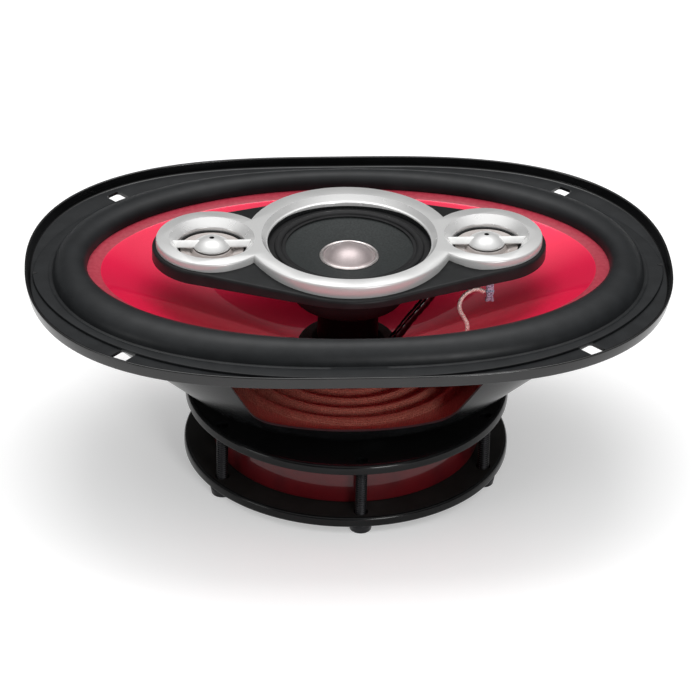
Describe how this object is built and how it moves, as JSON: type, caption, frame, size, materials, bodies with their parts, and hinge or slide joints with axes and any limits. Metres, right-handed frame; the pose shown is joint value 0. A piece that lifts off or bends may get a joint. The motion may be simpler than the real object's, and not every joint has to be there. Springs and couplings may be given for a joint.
{
  "type": "oval coaxial car speaker",
  "caption": "Oval car speaker: pressed basket with a rolled-edge cone, ring magnet motor, and a centre pod carrying a midrange and tweeters on a fixed post.",
  "frame": {"origin": "centre of the mounting flange's flat rear face", "axes": "+X along the long way of the oval, +Z out of the front, the way the sound leaves, +Y across"},
  "size_m": [0.237, 0.166, 0.0908],
  "materials": {
    "basket_flange": "satin black powder coat",
    "basket_wall_left": "satin black powder coat",
    "basket_wall_right": "satin black powder coat",
    "basket_floor": "satin black powder coat",
    "basket_rivets": "satin black",
    "top_plate": "satin black",
    "magnet": "dark ferrite",
    "magnet_sleeve": "glossy dark red",
    "back_plate": "satin black",
    "pole_piece": "plated steel",
    "assembly_screws": "black oxide",
    "post_bolt": "zinc plated",
    "centre_post": "matt black",
    "surround": "satin dark grey",
    "cone": "glossy red",
    "spider": "reddish brown treated cloth",
    "voice_coil_former": "amber film",
    "voice_coil_winding": "enamelled copper wire",
    "dust_ring": "dark felt",
    "lead_eyelets": "plated",
    "tinsel_lead_left": "braided copper",
    "tinsel_lead_right": "braided copper",
    "terminal_board": "brown phenolic board",
    "terminal_rivets": "tinned",
    "terminal_blade_positive": "tinned brass",
    "terminal_blade_negative": "tinned brass",
    "crossover_capacitor": "dark blue sleeve",
    "pod_housing": "satin charcoal",
    "pod_trim": "satin silver paint",
    "midrange_can": "matt black",
    "midrange_yoke": "plated steel",
    "midrange_magnet": "nickel plated magnet",
    "midrange_pole_disc": "plated steel",
    "midrange_cone": "charcoal coated paper",
    "midrange_surround": "black",
    "midrange_dome": "pale mauve treated cloth",
    "midrange_coil": "enamelled copper wire",
    "tweeter_left_motor": "grey ceramic",
    "tweeter_left_clamp": "black",
    "tweeter_left_diaphragm": "pale film",
    "tweeter_right_motor": "grey ceramic",
    "tweeter_right_clamp": "black",
    "tweeter_right_diaphragm": "pale film",
    "pod_terminal": "crimped tinned brass",
    "pod_lead": "braided copper",
    "pod_wires": "glossy black sleeve"
  },
  "bodies": {
    "frame": {"basket_flange": "basket_flange", "basket_wall_left": "basket_wall_left", "basket_wall_right": "basket_wall_right", "basket_floor": "basket_floor", "basket_rivets": "basket_rivets", "top_plate": "top_plate", "magnet": "magnet", "magnet_sleeve": "magnet_sleeve", "back_plate": "back_plate", "pole_piece": "pole_piece", "assembly_screws": "assembly_screws", "post_bolt": "post_bolt", "centre_post": "centre_post", "surround": "surround", "spider": "spider", "tinsel_lead_left": "tinsel_lead_left", "tinsel_lead_right": "tinsel_lead_right", "terminal_board": "terminal_board", "terminal_rivets": "terminal_rivets", "terminal_blade_positive": "terminal_blade_positive", "terminal_blade_negative": "terminal_blade_negative", "crossover_capacitor": "crossover_capacitor", "pod_housing": "pod_housing", "pod_trim": "pod_trim", "midrange_can": "midrange_can", "midrange_yoke": "midrange_yoke", "midrange_magnet": "midrange_magnet", "midrange_pole_disc": "midrange_pole_disc", "midrange_surround": "midrange_surround", "tweeter_left_motor": "tweeter_left_motor", "tweeter_left_clamp": "tweeter_left_clamp", "tweeter_right_motor": "tweeter_right_motor", "tweeter_right_clamp": "tweeter_right_clamp", "pod_terminal": "pod_terminal", "pod_lead": "pod_lead", "pod_wires": "pod_wires"},
    "cone_assembly": {"cone": "cone", "voice_coil_former": "voice_coil_former", "voice_coil_winding": "voice_coil_winding", "dust_ring": "dust_ring", "lead_eyelets": "lead_eyelets"},
    "midrange_assembly": {"midrange_cone": "midrange_cone", "midrange_dome": "midrange_dome", "midrange_coil": "midrange_coil"},
    "tweeter_left": {"tweeter_left_diaphragm": "tweeter_left_diaphragm"},
    "tweeter_right": {"tweeter_right_diaphragm": "tweeter_right_diaphragm"}
  },
  "joints": [
    {"name": "cone_slide", "type": "slide", "parent": "frame", "child": "cone_assembly", "axis": [0, 0, 1], "range_m": [-0.004, 0.004], "stiffness_N_per_m": 1200, "deforming": ["surround", "spider", "tinsel_lead_left", "tinsel_lead_right", "pod_lead", "pod_wires"]},
    {"name": "midrange_slide", "type": "slide", "parent": "frame", "child": "midrange_assembly", "axis": [0, 0, 1], "range_m": [-0.0008, 0.0008], "stiffness_N_per_m": 600, "deforming": ["midrange_surround"]},
    {"name": "tweeter_left_slide", "type": "slide", "parent": "frame", "child": "tweeter_left", "axis": [0, 0, 1], "range_m": [-0.00015, 0.00015], "stiffness_N_per_m": 3000},
    {"name": "tweeter_right_slide", "type": "slide", "parent": "frame", "child": "tweeter_right", "axis": [0, 0, 1], "range_m": [-0.00015, 0.00015], "stiffness_N_per_m": 3000}
  ]
}
